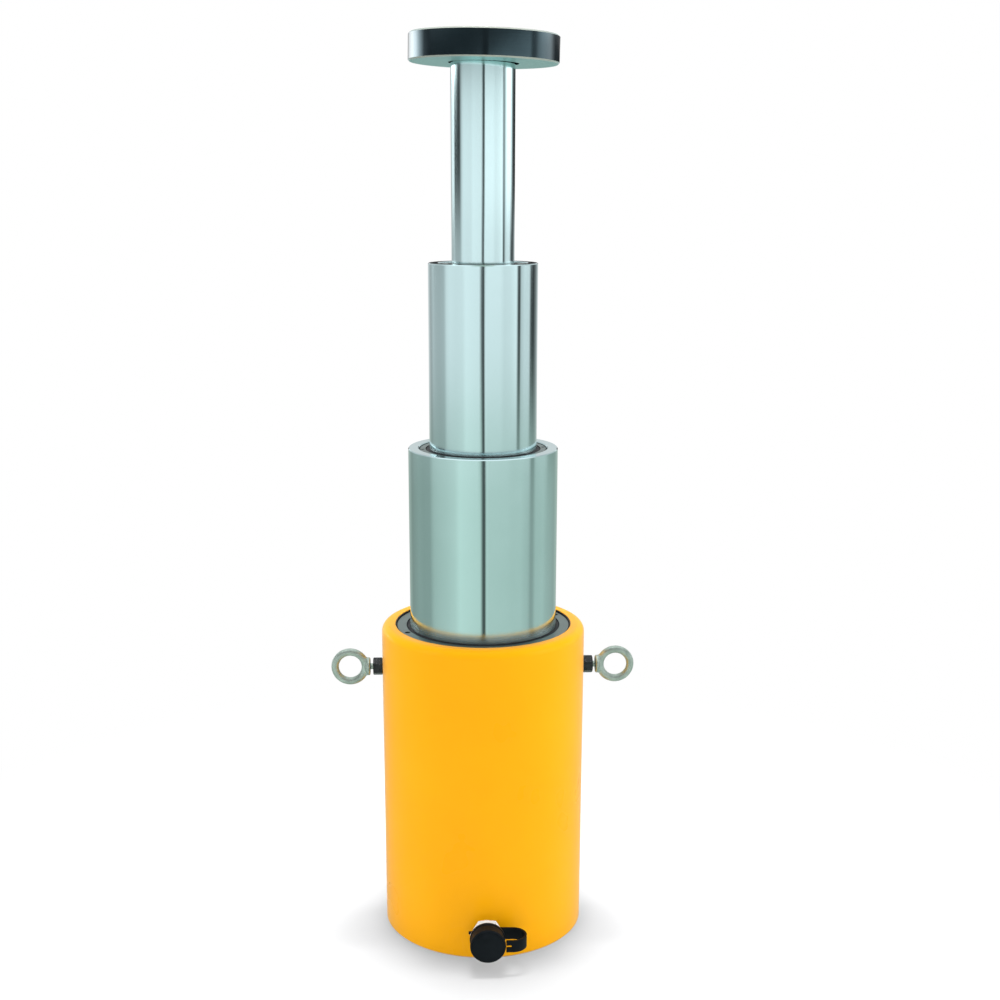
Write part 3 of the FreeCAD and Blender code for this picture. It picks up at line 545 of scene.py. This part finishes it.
def stage_chrome(node):
    """The chrome of one stage, oily where it stands out of its wiper."""
    wiper, oil_height = STAGES[node]
    build = chrome(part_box(wiper)[1].z, oil_height)
    return material(f"{node}_chrome", build, Metallic=1.0, Anisotropic=1.0, Anisotropic_Rotation=0.25)


def dress(obj, made):
    obj.data.materials.clear()
    obj.data.materials.append(made)


for node_name, node in frame["nodes"].items():
    if node_name.endswith("_stop_ring"):
        dress(node, stop_ring_material(node_name.removesuffix("_stop_ring")))
    elif node_name in STAGES:
        dress(node, stage_chrome(node_name))
    else:
        dress(node, MATERIALS[SLOT_OF[node_name]])

frame["nodes"]["cylinder_body"].visible_diffuse = False  # its yellow isn't cast on the floor

# ---- shapes ----------------------------------------------------------------------------------


def loft(shape, loops, closed=False):
    """Adds a skin through equal loops of points; its ends are filled unless it closes on itself."""
    rows = [[shape.verts.new(point) for point in loop] for loop in loops]
    pairs = list(zip(rows, rows[1:]))
    if closed:
        pairs.append((rows[-1], rows[0]))
    else:
        shape.faces.new(list(reversed(rows[0])))
        shape.faces.new(rows[-1])
    for first, second in pairs:
        for index in range(len(first)):
            after = (index + 1) % len(first)
            shape.faces.new((first[index], first[after], second[after], second[index]))


def circle(radius, height, count=64):
    """Points round the Z axis."""
    turns = [2 * math.pi * index / count for index in range(count)]
    return [Vector((radius * math.cos(turn), radius * math.sin(turn), height)) for turn in turns]


SLAB_POWER = 4.0  # of the superellipse


def rounded_slab(half_width, half_depth, height, count):
    """A rounded rectangle round the Z axis, as a superellipse."""
    points = []
    for index in range(count):
        turn = 2 * math.pi * index / count
        c, s = math.cos(turn), math.sin(turn)
        x = half_width * math.copysign(abs(c) ** (2 / SLAB_POWER), c)
        y = half_depth * math.copysign(abs(s) ** (2 / SLAB_POWER), s)
        points.append(Vector((x, y, height)))
    return points


def add_object(name, shape, matrix=None):
    """Makes an object of the bmesh, in the row frame."""
    bmesh.ops.recalc_face_normals(shape, faces=shape.faces)
    mesh = bpy.data.meshes.new(name)
    if matrix:
        shape.transform(matrix)
    shape.to_mesh(mesh)
    shape.free()
    obj = bpy.data.objects.new(name, mesh)
    bpy.context.scene.collection.objects.link(obj)
    return obj


def bake_modifiers(obj):
    """Puts the result of the modifiers into the mesh."""
    bpy.context.view_layer.update()
    evaluated = obj.evaluated_get(bpy.context.evaluated_depsgraph_get())
    mesh = bpy.data.meshes.new_from_object(evaluated)
    obj.modifiers.clear()
    obj.data = mesh
    for polygon in mesh.polygons:
        polygon.use_smooth = True


# ---- forged lifting eyes ---------------------------------------------------------------------

EYE_HEIGHT = 310.0 * MM
EYE_CENTRE = 152.0 * MM
EYE_RING = 17.25 * MM
EYE_SECTION = 4.25 * MM
EYE_SECTION_WAIST = 0.94  # the section's width across the ring, as a share of its thickness
# Radii and distances from the ram's axis, in millimetres.
EYE_STUD = [(5.0, 104.0), (5.0, 125.0), (3.4, 125.4), (3.4, 129.4)]
EYE_COLLAR = [(9.2, 129.0), (10.2, 129.8), (10.2, 131.8), (8.6, 133.4), (5.0, 135.4)]
EYE_WEB_FOOT = (9.2, 131.0)  # half its width at the collar, and the distance it starts at
EYE_WEB_HALF_DEPTH = 3.5
EYE_WEB_SPREAD = math.radians(56)  # how far round the ring the web reaches on each side
EYE_WEB_STEPS = 8  # on each side
EYE_RING_STEPS = 96
EYE_SECTION_POINTS = 32
EYE_VOXEL = 0.5 * MM
EYE_SMOOTHING = 0.5
EYE_SMOOTHING_PASSES = 5


def forged_eye(name, side):
    """An eye bolt whose ring, web and collar run into each other as a forging's do."""
    shape = bmesh.new()
    loft(shape, [circle(radius * MM, height * MM) for radius, height in EYE_STUD])
    loft(shape, [circle(radius * MM, height * MM) for radius, height in EYE_COLLAR])
    foot_half, foot_height = EYE_WEB_FOOT
    web = []
    for step in range(-EYE_WEB_STEPS, EYE_WEB_STEPS + 1):
        turn = EYE_WEB_SPREAD * step / EYE_WEB_STEPS
        head = Vector((EYE_RING * math.sin(turn), 0, EYE_CENTRE - EYE_RING * math.cos(turn)))
        foot = Vector((foot_half * step / EYE_WEB_STEPS, 0, foot_height)) * MM
        depth = Vector((0, EYE_WEB_HALF_DEPTH * MM, 0))
        web.append([foot - depth, foot + depth, head + depth, head - depth])
    loft(shape, web)
    loops = []
    for index in range(EYE_RING_STEPS):
        turn = 2 * math.pi * index / EYE_RING_STEPS
        outwards = Vector((math.cos(turn), 0, math.sin(turn)))
        middle = Vector((0, 0, EYE_CENTRE)) + outwards * EYE_RING
        loop = []
        for point in circle(EYE_SECTION, 0, EYE_SECTION_POINTS):
            loop.append(middle + outwards * point.x + Vector((0, point.y * EYE_SECTION_WAIST, 0)))
        loops.append(loop)
    loft(shape, loops, closed=True)
    turned = Matrix.Translation((0, 0, EYE_HEIGHT)) @ Matrix.Rotation(side * math.pi / 2, 4, "Y")
    eye = add_object(name, shape, turned)
    remesh = eye.modifiers.new("forge", "REMESH")
    remesh.mode = "VOXEL"
    remesh.voxel_size = EYE_VOXEL
    smooth = eye.modifiers.new("smooth", "SMOOTH")
    smooth.factor = EYE_SMOOTHING
    smooth.iterations = EYE_SMOOTHING_PASSES
    bake_modifiers(eye)
    dress(eye, MATERIALS["zinc_plated_steel"])
    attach(eye, "cylinder")
    return eye


for eye_name, eye_side in (("left", -1), ("right", 1)):
    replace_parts(forged_eye(f"forged_eye_{eye_name}", eye_side), f"lifting_eye_{eye_name}")

# ---- dust cap's strap ------------------------------------------------------------------------

INLET_HEIGHT = 35.9 * MM
BODY_RADIUS = 115.0 * MM
# The strap's own sizes are in millimetres from the coupler's axis and out from the body.
STRAP_RING = [
    (10.1, 4.9), (10.6, 4.4), (13.1, 4.4), (13.6, 4.9), (13.6, 8.3), (13.1, 8.8), (10.6, 8.8), (10.1, 8.3),
]
STRAP_BACK = 6.6
STRAP_FRONT = 36.0
STRAP_BEND_CENTRE = 27.7
STRAP_ROOT = 11.8
STRAP_TIP = 20.1
STRAP_ROWS = (-8.1, -2.5, 0.1, 5.7)
STRAP_SLOT = (20.4, 26.0)
STRAP_THICKNESS = 2.2
STRAP_EDGE_ROUND = 0.7
STRAP_EDGE_SEGMENTS = 3
STRAP_SHARP = math.radians(50)  # edges sharper than this are rounded
STRAP_LEG_STEPS = 8
STRAP_BEND_STEPS = 32
STRAP_RING_STEPS = 72
STRAP_SLOT_ROW = 1  # the slot is between the second row of points and the third
LUG_POINTS = 32
LUG = [(11.8, 1.7, 2.1), (16.0, 1.7, 2.1), (19.6, 1.6, 2.0), (20.6, 1.0, 1.4)]


def strap_line():
    """(reach, out) along the band's middle, from the ring round the bend to the cap."""
    bend = (STRAP_FRONT - STRAP_BACK) / 2
    middle = (STRAP_FRONT + STRAP_BACK) / 2
    leg = STRAP_BEND_CENTRE - STRAP_ROOT
    line = [(STRAP_ROOT + leg * step / STRAP_LEG_STEPS, STRAP_BACK) for step in range(STRAP_LEG_STEPS)]
    for step in range(STRAP_BEND_STEPS + 1):
        turn = -math.pi / 2 + math.pi * step / STRAP_BEND_STEPS
        line.append((STRAP_BEND_CENTRE + bend * math.cos(turn), middle + bend * math.sin(turn)))
    for reach in (STRAP_SLOT[1], STRAP_SLOT[0], STRAP_TIP):
        line.append((reach, STRAP_FRONT))
    return line


def rubber_strap():
    """The moulded strap: a ring on the adapter's neck, a grip lug, and the band that loops to the cap."""
    outward = Matrix.Translation((0, -BODY_RADIUS, INLET_HEIGHT)) @ Matrix.Rotation(math.pi / 2, 4, "X")
    shape = bmesh.new()
    line = strap_line()
    columns = []
    for reach, out in line:
        columns.append([shape.verts.new(Vector((reach, row, out)) * MM) for row in STRAP_ROWS])
    for index, (first, second) in enumerate(zip(columns, columns[1:])):
        slotted = index == len(columns) - 3
        for row in range(len(STRAP_ROWS) - 1):
            if slotted and row == STRAP_SLOT_ROW:
                continue
            shape.faces.new((first[row], second[row], second[row + 1], first[row + 1]))
    band = add_object("rubber_strap", shape, outward)
    thick = band.modifiers.new("thickness", "SOLIDIFY")
    thick.thickness = STRAP_THICKNESS * MM
    thick.offset = 0.0
    bevel = band.modifiers.new("edges", "BEVEL")
    bevel.width = STRAP_EDGE_ROUND * MM
    bevel.segments = STRAP_EDGE_SEGMENTS
    bevel.limit_method = "ANGLE"
    bevel.angle_limit = STRAP_SHARP
    bake_modifiers(band)
    shape = bmesh.new()
    shape.from_mesh(band.data)
    extra = bmesh.new()
    loops = []
    for index in range(STRAP_RING_STEPS):
        turn = Matrix.Rotation(2 * math.pi * index / STRAP_RING_STEPS, 3, "Z")
        loops.append([turn @ (Vector((radius, 0, out)) * MM) for radius, out in STRAP_RING])
    loft(extra, loops, closed=True)
    lug_turn = Matrix.Rotation(-math.pi / 2, 3, "Y")
    lug_place = Vector((0, 0, STRAP_BACK * MM))
    lug_loops = []
    for reach, half_width, half_depth in LUG:
        slab = rounded_slab(half_depth * MM, half_width * MM, reach * MM, LUG_POINTS)
        lug_loops.append([lug_turn @ point + lug_place for point in slab])
    loft(extra, lug_loops)
    bmesh.ops.recalc_face_normals(extra, faces=extra.faces)
    extra.transform(outward)
    extra_mesh = bpy.data.meshes.new("strap_ring")
    extra.to_mesh(extra_mesh)
    extra.free()
    for polygon in extra_mesh.polygons:
        polygon.use_smooth = True
    shape.from_mesh(extra_mesh)
    shape.to_mesh(band.data)
    shape.free()
    dress(band, MATERIALS["cap_rubber"])
    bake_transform(band)
    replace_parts(band, "dust_cap_strap")


rubber_strap()

# ---- valve spring ----------------------------------------------------------------------------

SPRING_WIRE_RADIUS = 0.45 * MM
SPRING_TURNS = 4
SPRING_STEPS = 40  # rings of the wire per turn
SPRING_WIRE_POINTS = 12


def valve_spring():
    """A coil of wire that stands in the place of the coupler's spring."""
    low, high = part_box("coupler_spring")
    coil_radius = (high.x - low.x) / 2 - SPRING_WIRE_RADIUS
    middle = (low + high) / 2
    back = high.y - SPRING_WIRE_RADIUS
    length = high.y - low.y - 2 * SPRING_WIRE_RADIUS
    shape = bmesh.new()
    loops = []
    for step in range(SPRING_TURNS * SPRING_STEPS + 1):
        turn = 2 * math.pi * step / SPRING_STEPS
        out = Vector((math.cos(turn), 0, math.sin(turn)))
        centre = Vector((middle.x, back - length * step / (SPRING_TURNS * SPRING_STEPS), middle.z))
        centre += out * coil_radius
        wire = circle(SPRING_WIRE_RADIUS, 0, SPRING_WIRE_POINTS)
        loops.append([centre + out * point.x + Vector((0, point.y, 0)) for point in wire])
    loft(shape, loops)
    spring = add_object("coil_spring", shape)
    for polygon in spring.data.polygons:
        polygon.use_smooth = True
    dress(spring, MATERIALS["spring_steel"])
    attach(spring, "cylinder")
    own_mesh(spring)
    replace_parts(spring, "coupler_spring")


valve_spring()

bpy.context.scene.view_settings.view_transform = "Standard"
